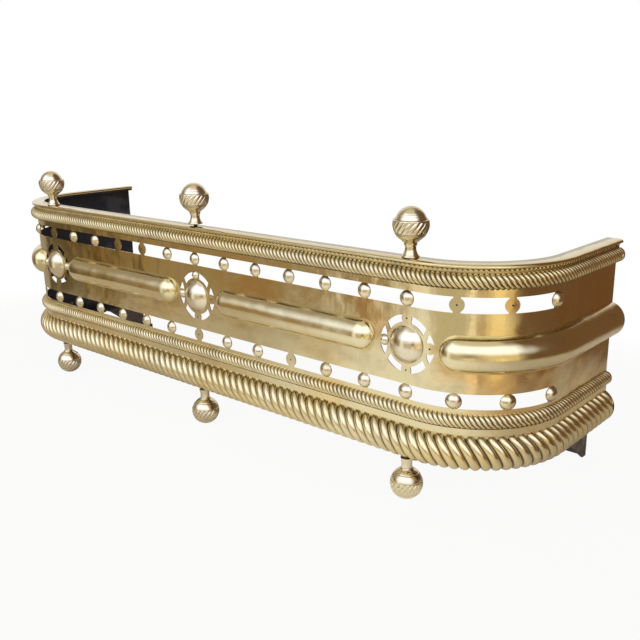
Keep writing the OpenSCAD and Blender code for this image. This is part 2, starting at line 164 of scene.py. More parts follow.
def grid_faces(rows, cols, wrap=False, flip=False):
    """Four-sided faces over rows of points, closed round each row with wrap."""
    faces = []
    for i in range(rows - 1):
        for j in range(cols if wrap else cols - 1):
            k = (j + 1) % cols
            q = [i * cols + j, i * cols + k, (i + 1) * cols + k, (i + 1) * cols + j]
            faces.append(q[::-1] if flip else q)
    return faces


def mirrored(half):
    """Values on both sides of the middle, from those of the right half, the first of which is zero."""
    half = np.array(half)
    return np.concatenate([-half[:0:-1], half])


def s_samples(step_straight, step_corner):
    """Arc positions from one rear end to the other."""
    a, b = HALF_FRONT, HALF_FRONT + ARC
    half = list(np.linspace(0, a, max(2, round(a / step_straight) + 1)))
    half += list(np.linspace(a, b, max(2, round(ARC / step_corner) + 1)))[1:]
    half += list(np.linspace(b, S_END, max(2, round((S_END - b) / step_straight) + 1)))[1:]
    return mirrored(half)


def ramp(value, start, end):
    """Zero before start and one past end, straight in between. end may lie below start."""
    return np.clip((value - start) / (end - start), 0, 1)


def sweep(name, section, slot, sharp=40, cavity=None):
    """Sweeps a closed section, given as (out of the panel, up) in millimetres."""
    sec = np.array(section, float) * MM
    s = s_samples(40 * MM, 2.2 * MM)
    pts = np.stack([place(s, n, z) for n, z in sec], 1)
    faces = grid_faces(len(s), len(sec), wrap=True)
    last = (len(s) - 1) * len(sec)
    faces.append(list(range(len(sec))))
    faces.append([last + j for j in range(len(sec))][::-1])
    cav = np.zeros(len(sec)) if cavity is None else np.array(cavity, float)
    return new_object(name, pts.reshape(-1, 3), faces, slot, sharp, np.tile(cav, len(s)))


def arc_points(cx, cy, r, a0, a1, count):
    """Points on an arc between two angles in degrees."""
    return [(cx + r * math.cos(math.radians(a)), cy + r * math.sin(math.radians(a)))
            for a in np.linspace(a0, a1, count)]


# ---- rope mouldings -------------------------------------------------------------------------

# How far a strand has run along the moulding, in millimetres, at angles up round the section, in degrees.
LARGE_TWIST = ((-112, -20.5), (-50, -19.0), (-40, -18.3), (-30, -17.3), (-20, -15.9), (-10, -14.2),
               (0, -12.4), (10, -10.4), (20, -8.3), (30, -6.1), (40, -3.9), (50, -1.7), (60, 0.0), (100, 2.5))
SMALL_TWIST = ((-112, -14.0), (-60, -11.4), (-40, -9.5), (-20, -7.2), (0, -4.9), (20, -3.0), (40, -1.6),
               (60, -0.5), (100, 1.0))
# In millimetres: the strands' pitches along the front, round the corner and along the return, and the depth
# of the grooves. The grooves are deeper by the share pit at the upper edge, which edge_dirt_and_shade darkens
# with dirt and painted shade.
SMALL = dict(pitches=(6.7, 6.0, 6.7), twist=SMALL_TWIST, depth=2.0, pit=0.0, edge_dirt_and_shade=0.15,
             across=19, per_strand=8)
LARGE = dict(pitches=(13.7, 12.5, 13.9), twist=LARGE_TWIST, depth=3.8, pit=0.6, edge_dirt_and_shade=0.25,
             across=35, per_strand=12)
# Each rope's centre out of the panel and up, its radius, and the angles of its edges and of the dirt and
# painted shade beneath.
ROPES = {
    "top_rope": dict(SMALL, centre=(1.6, 289.1), r=9.6, top=98, bottom=-98, dirt_and_shade_below=-25),
    "lower_rope": dict(SMALL, centre=(-1.0, 120.1), r=9.4, top=84, bottom=-84, dirt_and_shade_below=-30),
    "base_rope": dict(LARGE, centre=(-9.3, 79.6), r=24.4, top=67, bottom=-112, dirt_and_shade_below=-85),
}
# The strands stop just inside the rope's end, and their pitch is counted on past it, in metres.
STRAND_END = S_END - 0.4 * MM
PAST_END = 0.1
# Rings of the plate that closes a rope's end: millimetres from the end, and smaller than the rope.
END_RINGS = ((1.0, 0.02), (0.1, 0.02), (0.0, 0.2))
# How much the grooves' depth wavers from strand to strand, and how fast.
WAVER, WAVER_RATE = 0.06, 1.7


def strand_rows(pitches, depth, per_strand):
    """Rows of points along a rope: arc position, number of its strand and height on it.

    Strands are counted from the middle, and the height is one on the crest and zero in the groove.
    """
    knot_s = np.array([0, HALF_FRONT, HALF_FRONT + ARC, S_END + PAST_END])
    knot_number = mirrored(np.concatenate([[0], np.cumsum(np.diff(knot_s) / pitches)]))
    strands = int(knot_number[-1])
    u = (1 - np.cos(np.linspace(0, math.pi, per_strand + 1)[:-1])) / 2
    number = (np.arange(-strands, strands)[:, None] + u).ravel()
    half = pitches[0] / 2
    ball = (half ** 2 + depth ** 2) / (2 * depth)
    crest = (np.sqrt(ball ** 2 - ((2 * u - 1) * half) ** 2) - ball + depth) / depth
    return np.interp(number, knot_number, mirrored(knot_s)), number, np.tile(crest, 2 * strands)


def strand_dirt_and_shade(degrees, crest, top, dirt_and_shade_below, pit, edge_dirt_and_shade):
    """Cavity of a rope: dirt and painted shade in its grooves, along its upper edge and on its underside."""
    upper_edge = edge_dirt_and_shade * ramp(degrees, top - 20, top)
    underside = ramp(degrees, dirt_and_shade_below, dirt_and_shade_below - 30)
    groove = 0.18 * ramp(degrees, top - 30, top - 10) if pit else 0.18
    return np.maximum(np.clip(1 + groove - crest * 1.2, 0, 1), np.maximum(upper_edge, underside))


def rope_ends(name, out, up, r, phi):
    """The plates that close a rope's two ends."""
    across, count = len(phi), len(END_RINGS)
    ends = Bag()
    for side in (-1, 1):
        rings = []
        for inset, smaller in END_RINGS:
            rim = r - smaller * MM
            at = np.full(across, side * (S_END - inset * MM))
            rings.append(place(at, out + rim * np.cos(phi), up + rim * np.sin(phi)))
        plate = list(range((count - 1) * across, count * across))[::side]
        ends.add(np.concatenate(rings), grid_faces(count, across, flip=side < 0) + [plate])
    return ends.build(name, "moulding_brass")


def rope(name, centre, r, top, bottom, dirt_and_shade_below,
         pitches, twist, depth, pit, edge_dirt_and_shade, across, per_strand):
    """Half-round moulding of slanted rounded strands, and the plates at its ends.

    across counts the points from edge to edge, and per_strand the rows to a strand.
    """
    out, up = (v * MM for v in centre)
    r, depth, pitches = r * MM, depth * MM, np.array(pitches) * MM
    degrees = np.linspace(top, bottom, across)
    phi = np.radians(degrees)
    s, number, crest = strand_rows(pitches, depth, per_strand)
    s = s[:, None] - np.interp(degrees, *zip(*twist)) * MM
    keep = (s.max(1) > -S_END - pitches[-1]) & (s.min(1) < S_END + pitches[-1])
    s = np.clip(s[keep], -STRAND_END, STRAND_END)
    crest = crest[keep][:, None]
    waver = 1 + WAVER * np.sin(number[keep] * WAVER_RATE)[:, None]
    deeper = 1 + pit * ramp(degrees, top - 32, top) ** 1.5
    at_r = r - depth * waver * deeper * (1 - crest)
    pts = place(s, out + at_r * np.cos(phi), up + at_r * np.sin(phi))
    # Darker in the grooves, along the upper edge and underneath: dirt, and painted shade.
    dirt_and_shade = strand_dirt_and_shade(degrees, crest, top, dirt_and_shade_below, pit, edge_dirt_and_shade)
    strands = new_object(name, pts.reshape(-1, 3), grid_faces(*s.shape), "moulding_brass", 70, dirt_and_shade.ravel())
    return strands, rope_ends(name + "_ends", out, up, r, phi)


# ---- cap, cove and band ----------------------------------------------------------------------

def cap_piece():
    """The cap, with its section from the back edge along the underside and round the lip to the top."""
    # The third numbers darken the underside beneath the lip: dirt and painted shade.
    under = [(-14.4, 305.9, 0), (-14.0, 305.5, 0), (2.4, 305.5, 0.2), (4.4, 304.5, 0.9), (5.6, 304.15, 0.9),
             (6.6, 304.5, 0.6), (7.15, 305.2, 0.3)]
    lip = [(7.3 * math.cos(a), 306.2 + 3.1 * math.sin(a), 0) for a in np.linspace(0, math.pi / 2, 12)]
    section = np.array(under + lip + [(-14.0, 309.3, 0), (-14.4, 308.9, 0)])[::-1]
    return sweep("cap", section[:, :2], "moulding_brass", 50, section[:, 2])


def cove_piece():
    """The hollow moulding between the cap and the top rope."""
    hollow = arc_points(8.6, 299.2, 6.2, 180, 122, 9)
    section = [(-0.2, 298.4), (2.2, 298.4)] + hollow + [(5.5, 305.0), (-0.2, 305.0)]
    # The hollow is darkened, most up under the cap: dirt and painted shade.
    cavity = [0.6, 0.6, 0.5, 0.4, 0.3, 0.3, 0.3, 0.3, 0.4, 0.6, 0.8, 1.0, 1.0]
    return sweep("cap_cove", section[::-1], "moulding_brass", 50, cavity[::-1])


def band_piece():
    """The plain band between the lower rope and the base rope."""
    section = [(-0.2, 102.0), (1.3, 102.0), (1.6, 102.4), (1.6, 110.7), (1.3, 111.0), (-0.2, 111.0)]
    return sweep("base_band", section, "panel_brass", 30)


# ---- lathe work -----------------------------------------------------------------------------

def lathe(profile, around, flute=None):
    """Vertices, faces and cavity of a turned shape, given as rows of radius and height in mm, and cavity.

    flute(r, z, theta) gives the change of r and the cavity that it adds.
    """
    theta = np.linspace(0, 2 * math.pi, around, endpoint=False)
    r, z, cav = (column[:, None] * np.ones((1, around)) for column in np.array(profile, float).T)
    r, z = r * MM, z * MM
    if flute is not None:
        dr, dc = flute(r, z, theta[None, :])
        r = r + dr
        cav = np.clip(cav + dc, 0, 1)
    pts = np.stack([r * np.cos(theta), r * np.sin(theta), z], -1).reshape(-1, 3)
    faces = grid_faces(len(profile), around, wrap=True)
    bottom = list(range(around))[::-1]
    top = [(len(profile) - 1) * around + j for j in range(around)]
    faces += [bottom, top]
    return pts, faces, cav.ravel()


def on_panel(s, z):
    """Matrix that stands a shape turned about +Z on the panel's face."""
    x, y, nx, ny = (float(v) for v in plan(s))
    out = Vector((nx, ny, 0))
    up = Vector((0, 0, 1))
    along = up.cross(out)
    m = Matrix((along, up, out)).transposed().to_4x4()
    m.translation = (x, y, z)
    return m


def moved(pts, m):
    m = np.array(m)
    return pts @ m[:3, :3].T + m[:3, 3]


# ---- the panel ------------------------------------------------------------------------------

def panel_columns():
    """Where the panel's mesh has its columns, close together round the corners, in millimetres."""
    return s_samples(12 * MM, 2.4 * MM) / MM


def slot_polygon(k, z):
    """The opening between stud k and stud k + 1, ends drawn round the studs' discs."""
    lift = math.degrees(math.acos(NECK_HALF / DISC_R))
    x0, x1, mid = k * PITCH_MM, (k + 1) * PITCH_MM, z / MM
    right_end = arc_points(x1, mid, DISC_R, 180 - lift, 180 + lift, 13)
    left_end = arc_points(x0, mid, DISC_R, -lift, lift, 13)
    between = [v for v in panel_columns() if x0 + NECK_HALF + 1 < v < x1 - NECK_HALF - 1]
    along = [x0 + NECK_HALF] + between + [x1 - NECK_HALF]
    top = [(x, mid + SLOT_HALF) for x in along]
    bottom = [(x, mid - SLOT_HALF) for x in along[::-1]]
    return top + right_end + bottom + left_end


def rosette_polygons(k):
    """A rosette's openings: in each quarter a curved one, and a pointed one beside the side disc."""
    cx, cz = k * PITCH_MM, MIDDLE_Z / MM
    curved = arc_points(0, 0, RING_OUT, 139.5, 102.6, 9)
    curved += arc_points(0, ROSETTE_DISC, ROSETTE_DISC_R, 154, 214, 7)
    curved += arc_points(0, 0, RING_IN, 104.5, 147.5, 10)
    pointed = [(-31.6, 18.6), (-34.6, 14.5), (-36.7, 10.5), (-38.2, 6.0), (-36.6, 5.9), (-34.4, 7.0),
               (-32.4, 7.3), (-30.2, 6.9), (-28.0, 5.8), (-28.3, 9.5), (-29.4, 13.6)]
    return [[(cx + sx * x, cz + sz * z) for x, z in quarter]
            for sx in (1, -1) for sz in (1, -1) for quarter in (curved, pointed)]


def pin_hole(x, z):
    return arc_points(x, z, PIN_HOLE_R, 0, 360, 13)[:-1]


def panel_holes():
    """The panel's openings and the pin holes of its lost studs."""
    openings, pins = [], []
    for k in range(-LAST_STUD, LAST_STUD):
        openings += [slot_polygon(k, LOWER_Z), slot_polygon(k, UPPER_Z)]
    for k, _ in ROSETTES:
        openings += rosette_polygons(k)
    for missing, z in ((UPPER_MISSING, UPPER_Z), (LOWER_MISSING, LOWER_Z)):
        pins += [pin_hole(k * PITCH_MM, z / MM) for k in missing]
    for k, dx, dz in ROSETTE_MISSING:
        pins.append(pin_hole(k * PITCH_MM + ROSETTE_DISC * dx, MIDDLE_Z / MM + ROSETTE_DISC * dz))
    return openings, pins


def inside(poly, pts):
    """Which points lie in a closed polygon."""
    p = np.array(poly)
    q = np.roll(p, -1, 0)
    x, y = pts[:, 0][:, None], pts[:, 1][:, None]
    cross = (p[:, 1] > y) != (q[:, 1] > y)
    with np.errstate(divide="ignore", invalid="ignore"):
        at = p[:, 0] + (y - p[:, 1]) * (q[:, 0] - p[:, 0]) / (q[:, 1] - p[:, 1])
    return (np.sum(cross & (x < at), 1) % 2) == 1


def panel_triangles(openings, pins):
    """Flat mesh of the panel in millimetres: points, the brass's triangles and the paint film's."""
    s_end = S_END / MM
    z0, z1 = PANEL_Z0 / MM, PANEL_Z1 / MM
    # Steps along the ends and up the field, and how far their points keep from corners, edges and holes.
    edge_step, corner_clear = 12, 5
    field_step, low_clear, high_clear, hole_clear = 8.0, 6, 3, 2
    verts, edges = [], []

    def loop(points):
        start = len(verts)
        verts.extend(Vector(p) for p in points)
        count = len(points)
        edges.extend((start + i, start + (i + 1) % count) for i in range(count))

    columns = panel_columns()
    right_edge = [(s_end, v) for v in np.arange(z0 + edge_step, z1 - corner_clear, edge_step)]
    left_edge = [(-s_end, v) for v in np.arange(z1 - edge_step, z0 + corner_clear, -edge_step)]
    loop([(v, z0) for v in columns] + right_edge + [(v, z1) for v in columns[::-1]] + left_edge)
    for hole in openings + pins:
        loop(hole)
    rows = np.arange(z0 + low_clear, z1 - high_clear, field_step)
    field = np.array([(a, b) for a in columns[1:-1] for b in rows])
    bad = np.zeros(len(field), bool)
    for hole in openings + pins:
        low, high = np.min(hole, 0) - hole_clear, np.max(hole, 0) + hole_clear
        bad |= np.all((field > low) & (field < high), 1)
    verts.extend(Vector(p) for p in field[~bad])
    points, _, triangles, _, _, _ = delaunay_2d_cdt(verts, edges, [], 0, 1e-5)
    points = np.array([tuple(v) for v in points])
    tri = np.array([list(f) for f in triangles])
    a, b, c = points[tri[:, 0]], points[tri[:, 1]], points[tri[:, 2]]
    area = (b[:, 0] - a[:, 0]) * (c[:, 1] - a[:, 1]) - (b[:, 1] - a[:, 1]) * (c[:, 0] - a[:, 0])
    mid = points[tri].mean(1)
    solid = np.abs(area) > 1e-7
    for hole in openings:
        solid &= ~inside(hole, mid)
    tri[area < 0] = tri[area < 0][:, ::-1]
    brass_too = solid.copy()
    for hole in pins:
        brass_too &= ~inside(hole, mid)
    return points, tri[brass_too], tri[solid]


def panel_pieces():
    """The brass sheet with the walls of its openings, and the paint film on its back."""
    points, tri, film = panel_triangles(*panel_holes())
    count = len(points)
    front = place(points[:, 0] * MM, 0.0, points[:, 1] * MM)
    back = place(points[:, 0] * MM, -SHEET_T, points[:, 1] * MM)
    seen = {}
    for t in tri:
        for i in range(3):
            seen[(t[i], t[(i + 1) % 3])] = True
    walls = [[b, a, a + count, b + count] for (a, b) in seen if (b, a) not in seen]
    used = sorted(set(i for wall in walls for i in wall if i >= count))
    remap = {j: count + i for i, j in enumerate(used)}
    walls = [[i if i < count else remap[i] for i in wall] for wall in walls]
    pts = np.concatenate([front, back[[j - count for j in used]]])
    face = new_object("panel_face", pts, [list(t) for t in tri] + walls, "panel_brass", 30)
    behind = new_object("panel_back", back, [list(t)[::-1] for t in film], "black_paint", 30)
    return face, behind


# ---- bolsters -------------------------------------------------------------------------------

# Radius and height of each kind of bolster, and where along the panel they begin and end.
BOLSTER_AXIS = -5.7 * MM
STRAIGHT = (22.2 * MM, MIDDLE_Z)
CORNER = (24.0 * MM, 202.0 * MM)
STRAIGHT_FROM, STRAIGHT_TO = 47.6 * MM, 333.4 * MM
CORNER_FROM = 424.8 * MM
# Points across a bolster, rings in a domed end and the step between the rings along it.
ACROSS, DOME_COUNT, RING_STEP = 37, 16, 2.6 * MM


def bolster_rings(r, z, s_tip, s_other, domed_other):
    """Rows of the bolster's skin from its domed end at s_tip towards s_other."""
    half_w = math.sqrt(r ** 2 - BOLSTER_AXIS ** 2)
    way = 1 if s_other > s_tip else -1
    beta_max = math.acos(-BOLSTER_AXIS / r)
    t = np.linspace(-1, 1, ACROSS)
    rows = []

    def ring(centre_s, beta, toward):
        rb = r * math.cos(beta)
        lim = math.acos(min(1.0, -BOLSTER_AXIS / rb))
        phi = lim * t
        rows.append((np.full(len(t), centre_s + toward * r * math.sin(beta)),
                     BOLSTER_AXIS + rb * np.cos(phi), z + rb * np.sin(phi)))

    start = s_tip + way * half_w
    for beta in beta_max * np.sin(np.linspace(math.pi / 2, 0, DOME_COUNT)):
        ring(start, min(beta, beta_max - 1e-4), -way)
    stop = s_other - way * half_w if domed_other else s_other
    steps = max(2, int(abs(stop - start) / RING_STEP))
    for s in np.linspace(start, stop, steps)[1:]:
        ring(s, 0.0, 1)
    if domed_other:
        for beta in beta_max * np.sin(np.linspace(0, math.pi / 2, DOME_COUNT))[1:]:
            ring(stop, min(beta, beta_max - 1e-4), way)
    return rows, way


def bolster(name, shape, s_tip, s_other, domed_other):
    """A half-round bolster, darkened only along the edges that lie on the panel: dirt and painted shade where
    it meets the panel.
    """
    rows, way = bolster_rings(*shape, s_tip, s_other, domed_other)
    bag = Bag()
    pts = np.stack([place(s, n, z) for s, n, z in rows])
    cav = np.tile(0.55 * np.abs(np.linspace(-1, 1, ACROSS)) ** 26, len(rows))
    bag.add(pts.reshape(-1, 3), grid_faces(len(rows), ACROSS, flip=way < 0), cav)
    if not domed_other:
        order = list(range(ACROSS))
        bag.add(pts[-1], [order[::-1] if way < 0 else order])
    return bag.build(name, "panel_brass", 50)


# ---- studs, bosses, finials and feet --------------------------------------------------------

def dome_profile(r, h, rings):
    """Profile of a dome of radius r and height h with a short upright rim."""
    rim = 0.4
    ball = (r * r + h * h) / (2 * h)
    top = math.asin(r / ball)
    # The third numbers darken the rim on the panel and the dome towards its rim: dirt and painted shade.
    out = [(r * 0.97, 0.0, 0.9), (r, rim, 0.6)]
    for a in np.linspace(top, 0.04, rings):
        up = max(h - ball + ball * math.cos(a), rim + 0.02)
        out.append((ball * math.sin(a), up, 0.4 * (a / top) ** 2))
    return out


def stud_set(name, places, r, h):
    """Studs at places along and up the panel, each a little out of true."""
    bag = Bag()
    rng = np.random.default_rng(7)
    for s, z in places:
        pts, faces, cav = lathe(dome_profile(r, h, 10), 32)
        lean = Matrix.Rotation(rng.normal(0, 0.03), 4, "X") @ Matrix.Rotation(rng.normal(0, 0.03), 4, "Y")
        pts = moved(pts * (1 + rng.normal(0, 0.015)), on_panel(s, z) @ lean)
        bag.add(pts, faces, cav)
    return bag.build(name, "cast_brass", 50)


def turned_piece(name, shape, m, sharp=60):
    """One cast piece from a lathe's shape, put where the matrix says."""
    pts, faces, cav = shape
    return new_object(name, moved(pts, m), faces, "cast_brass", sharp, cav)


def boss(name, k):
    rim, rise, plate = 22.9, 11.8, 1.2
    ball = (rim ** 2 + rise ** 2) / (2 * rise)
    # The third numbers darken the edge on the panel and the step under the dome: dirt and painted shade.
    prof = [(23.4, 0, 0.9), (23.8, 0.3, 0.6), (23.8, 0.9, 0.1), (23.4, plate, 0.3), (23.0, plate, 0.9)]
    for a in np.linspace(math.asin(rim / ball), 0.03, 20):
        prof.append((ball * math.sin(a), plate + rise - ball + ball * math.cos(a), 0.0))
    return turned_piece(name, lathe(prof, 72), on_panel(k * PITCH, MIDDLE_Z), 50)


def flute_band(centre, ball, low, high=12):
    """Slanted rounded flutes on the ball between two latitudes, in degrees."""
    def shape(r, z, theta):
        lat = np.degrees(np.arcsin(np.clip((z / MM - centre) / ball, -1, 1)))
        fade = ramp(lat, low, low + 4) * ramp(lat, high, high - 3)
        phase = theta * FLUTES / (2 * math.pi) + FLUTE_SLANT * lat / 45.0
        u = phase - np.floor(phase)
        crest = np.sqrt(np.clip(1 - (2 * u - 1) ** 2, 0, 1))
        # The flutes' valleys are darkened: dirt and painted shade.
        return -FLUTE_DEPTH * MM * (1 - crest) * fade, 0.65 * np.clip(1 - crest * 1.3, 0, 1) * fade
    return shape


# Latitudes between which a turned ring is cut, in degrees.
CUP_RINGS = ((-37, -34), (-29.5, -26.5))
DOME_RINGS = ((17, 20), (25, 28), (33, 36), (56, 59), (70, 73))
FOOT_RINGS = ((-34, -30), (13, 15.5), (44, 46.5))


def in_ring(lat, rings):
    return any(low < lat < high for low, high in rings)


def finial_profile():
    """Neck, cup and dome of a finial, upwards from the cap."""
    # The third numbers darken the foot on the cap, the cut rings and the step under the dome: dirt and
    # painted shade.
    out = [(10.2, 0, 0.9), (10.6, 0.5, 0.2), (10.6, 1.2, 0), (9.7, 2.2, 0), (8.5, 4.0, 0), (7.5, 6.2, 0),
           (6.8, 8.4, 0), (6.5, 10.4, 0), (6.6, 12.2, 0), (7.1, 13.8, 0.1), (7.6, 14.6, 0), (7.9, 15.4, 0),
           (7.8, 16.0, 0.2), (7.7, 16.7, 0.5), (8.0, 17.4, 0.3), (9.8, 18.3, 0)]
    for lat in np.linspace(-61, 13.2, 48):
        a = math.radians(lat)
        cut, dirt_and_shade = (0.5, 0.7) if in_ring(lat, CUP_RINGS) else (0.0, 0.0)
        out.append((FINIAL_R * math.cos(a) - cut, FINIAL_CENTRE + FINIAL_R * math.sin(a), dirt_and_shade))
    out += [(20.8, 43.6, 0), (20.4, 44.0, 0), (19.4, 44.1, 0.3), (18.6, 43.9, 0.8), (18.1, 44.1, 0.9)]
    for lat in np.linspace(11.6, 88, 34):
        a = math.radians(lat)
        ring = in_ring(lat, DOME_RINGS)
        r = DOME_R - (0.2 if ring else 0.0)
        out.append((r * math.cos(a), DOME_CENTRE + r * math.sin(a), 0.3 if ring or lat < 14 else 0.0))
    return out


def finial(name, k, lift=0.0):
    """A finial on the cap, or on a stub of its screw where it stands lift above the cap."""
    at = (k * PITCH, FACE_Y + FINIAL_SET_BACK, CAP_TOP)
    pts, faces, cav = lathe(finial_profile(), 216, flute_band(FINIAL_CENTRE, FINIAL_R, -26))
    m = Matrix.Translation((at[0], at[1], at[2] + lift)) @ Matrix.Rotation(0.2 * k, 4, "Z")
    bag = Bag()
    bag.add(moved(pts, m), faces, cav)
    if lift:
        thread = [(2.9, -1, 1), (2.9, 1.0, 1), (2.5, 1.4, 1), (2.9, 1.8, 1), (2.9, 4, 1)]
        stub, stub_faces, stub_cav = lathe(thread, 24)
        bag.add(moved(stub, Matrix.Translation(at)), stub_faces, stub_cav)
    return bag.build(name, "cast_brass", 60)


def foot_profile():
    """Ball and neck of a foot, upwards from the floor."""
    # The third numbers darken the cut rings and the neck where it meets the ball and the rope: dirt and
    # painted shade.
    out = []
    for lat in np.linspace(-80.5, 62, 84):
        a = math.radians(lat)
        cut, dirt_and_shade = (0.5, 0.5) if in_ring(lat, FOOT_RINGS) else (0.0, 0.0)
        r = FOOT_R - cut - 0.5 * ramp(lat, 12, 16)
        out.append((r * math.cos(a), max(0.0, FOOT_CENTRE + r * math.sin(a)), dirt_and_shade))
    out += [(8.6, 39.6, 0.3), (7.7, 40.6, 0.5), (7.2, 41.8, 0.3), (6.9, 43.8, 0.1), (6.8, 46.2, 0),
            (6.9, 48.6, 0), (7.2, 50.8, 0), (7.6, 52.8, 0.1), (8.0, 54.2, 0.2), (8.0, 55.2, 0.4)]
    return out


def foot(name, k):
    shape = lathe(foot_profile(), 216, flute_band(FOOT_CENTRE, FOOT_R, -30))
    at = Matrix.Translation((k * PITCH, FACE_Y + FOOT_SET_BACK, 0))
    return turned_piece(name, shape, at @ Matrix.Rotation(0.13 * k + 0.1, 4, "Z"))


def rope_end_pins():
    """Round-headed pins in the two ends of the top rope."""
    from_end, up = 5 * MM, 289.3 * MM
    head = [(2.7 * math.cos(a), 10.2 + 2.0 * math.sin(a), 0) for a in np.linspace(0, 1.5, 8)]
    bag = Bag()
    for side in (-1, 1):
        pts, faces, cav = lathe([(1.1, 0, 1), (1.1, 9, 1)] + head, 20)
        bag.add(moved(pts, on_panel(side * (S_END - from_end), up)), faces, cav)
    return bag.build("rope_end_pin_heads", "cast_brass", 50)


# ---- building -------------------------------------------------------------------------------

face, behind = panel_pieces()
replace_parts(face, "pierced_panel")
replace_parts(behind, "pierced_panel")

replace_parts(cap_piece(), "cap_rail")
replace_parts(cove_piece(), "cap_rail")
for node, shape in ROPES.items():
    for piece in rope(node + "_moulding", **shape):
        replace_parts(piece, node)
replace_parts(band_piece(), "base_fillet")

for side, way in (("right", 1), ("left", -1)):
    skin = bolster("bolster_front_%s_skin" % side, STRAIGHT, way * STRAIGHT_FROM, way * STRAIGHT_TO, True)
    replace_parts(skin, "bolster_front_%s" % side)
for side, way in (("right", 1), ("left", -1)):
    skin = bolster("bolster_corner_%s_skin" % side, CORNER, way * CORNER_FROM, way * S_END, False)
    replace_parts(skin, "bolster_corner_%s" % side)

for row, z, missing in (("upper", UPPER_Z, UPPER_MISSING), ("lower", LOWER_Z, LOWER_MISSING)):
    places = [(k * PITCH, z) for k in range(-LAST_STUD, LAST_STUD + 1) if k not in missing]
    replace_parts(stud_set("%s_stud_domes" % row, places, *STUD), "%s_studs" % row)
places = [(k * PITCH + dx * ROSETTE_DISC * MM, MIDDLE_Z + dz * ROSETTE_DISC * MM)
          for k, dx, dz in ROSETTE_STUDS]
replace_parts(stud_set("rosette_stud_domes", places, *ROSETTE_STUD), "rosette_studs")
for k, side in ROSETTES:
    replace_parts(boss("boss_%s_dome" % side, k), "boss_%s" % side)
    lift = MIDDLE_FINIAL_LIFT if k == 0 else 0.0
    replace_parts(finial("finial_%s_turned" % side, k, lift), "finial_%s" % side)
    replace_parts(foot("foot_%s_turned" % side, k), "foot_%s" % side)

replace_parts(rope_end_pins(), "rope_end_pins")


# ---- materials ------------------------------------------------------------------------------

class Nodes:
    """A material's node tree with short ways to add the usual nodes."""

    def __init__(self, name):
        self.mat = bpy.data.materials.new(name)
        self.mat.use_nodes = True
        self.t = self.mat.node_tree
        self.bsdf = self.t.nodes["Principled BSDF"]
        self.coord = self.t.nodes.new("ShaderNodeTexCoord").outputs["Object"]

    def add(self, kind, **values):
        node = self.t.nodes.new(kind)
        for key, value in values.items():
            setattr(node, key, value)
        return node

    def link(self, a, b):
        self.t.links.new(a, b)

    def scaled(self, x, y, z):
        node = self.add("ShaderNodeMapping")
        node.inputs["Scale"].default_value = (x, y, z)
        self.link(self.coord, node.inputs["Vector"])
        return node.outputs["Vector"]

    def noise(self, scale, detail=3.0, rough=0.5, vector=None, distortion=0.0):
        node = self.add("ShaderNodeTexNoise")
        node.inputs["Scale"].default_value = scale
        node.inputs["Detail"].default_value = detail
        node.inputs["Roughness"].default_value = rough
        node.inputs["Distortion"].default_value = distortion
        self.link(self.coord if vector is None else vector, node.inputs["Vector"])
        return node.outputs["Fac"]

    def remap(self, value, a, b, lo=0.0, hi=1.0, smooth=True):
        node = self.add("ShaderNodeMapRange")
        node.interpolation_type = "SMOOTHSTEP" if smooth else "LINEAR"
        for key, v in (("From Min", a), ("From Max", b), ("To Min", lo), ("To Max", hi)):
            node.inputs[key].default_value = v
        self.link(value, node.inputs["Value"])
        return node.outputs["Result"]

    def math(self, op, a, b, clamp=False):
        node = self.add("ShaderNodeMath", operation=op, use_clamp=clamp)
        for socket, v in zip(node.inputs, (a, b)):
            if isinstance(v, (int, float)):
                socket.default_value = v
            else:
                self.link(v, socket)
        return node.outputs[0]

    def mix(self, fac, a, b):
        node = self.add("ShaderNodeMix", data_type="RGBA")
        for key, v in ((0, fac), (6, a), (7, b)):
            if isinstance(v, (tuple, list)):
                node.inputs[key].default_value = (*v, 1.0)
            elif isinstance(v, (int, float)):
                node.inputs[key].default_value = v
            else:
                self.link(v, node.inputs[key])
        return node.outputs[2]

    def attribute(self, name):
        return self.add("ShaderNodeAttribute", attribute_name=name).outputs["Fac"]

    def bump(self, height, strength, distance, normal=None):
        node = self.add("ShaderNodeBump")
        node.inputs["Strength"].default_value = strength
        node.inputs["Distance"].default_value = distance
        self.link(height, node.inputs["Height"])
        if normal is not None:
            self.link(normal, node.inputs["Normal"])
        return node.outputs["Normal"]


# Colour of the dirt and painted shade in hollows, creases and undersides.
DARK = (0.07, 0.048, 0.02)
# Orange of the tarnish patches, which also paint in warm reflections.
STAIN_AND_REFLECTION = (0.76, 0.47, 0.17)
# Centre and radius of each orange patch on the panel, in metres: tarnish, and painted reflection of warm
# surroundings.
STAIN_AND_REFLECTION_PATCHES = ((0.50, -0.07, 0.165, 0.075), (-0.245, -0.125, 0.238, 0.035), (0.33, -0.125, 0.235, 0.035),
          (0.12, -0.125, 0.235, 0.05), (0.445, -0.12, 0.19, 0.03), (0.525, 0.08, 0.27, 0.09),
          (0.494, -0.078, 0.26, 0.016))


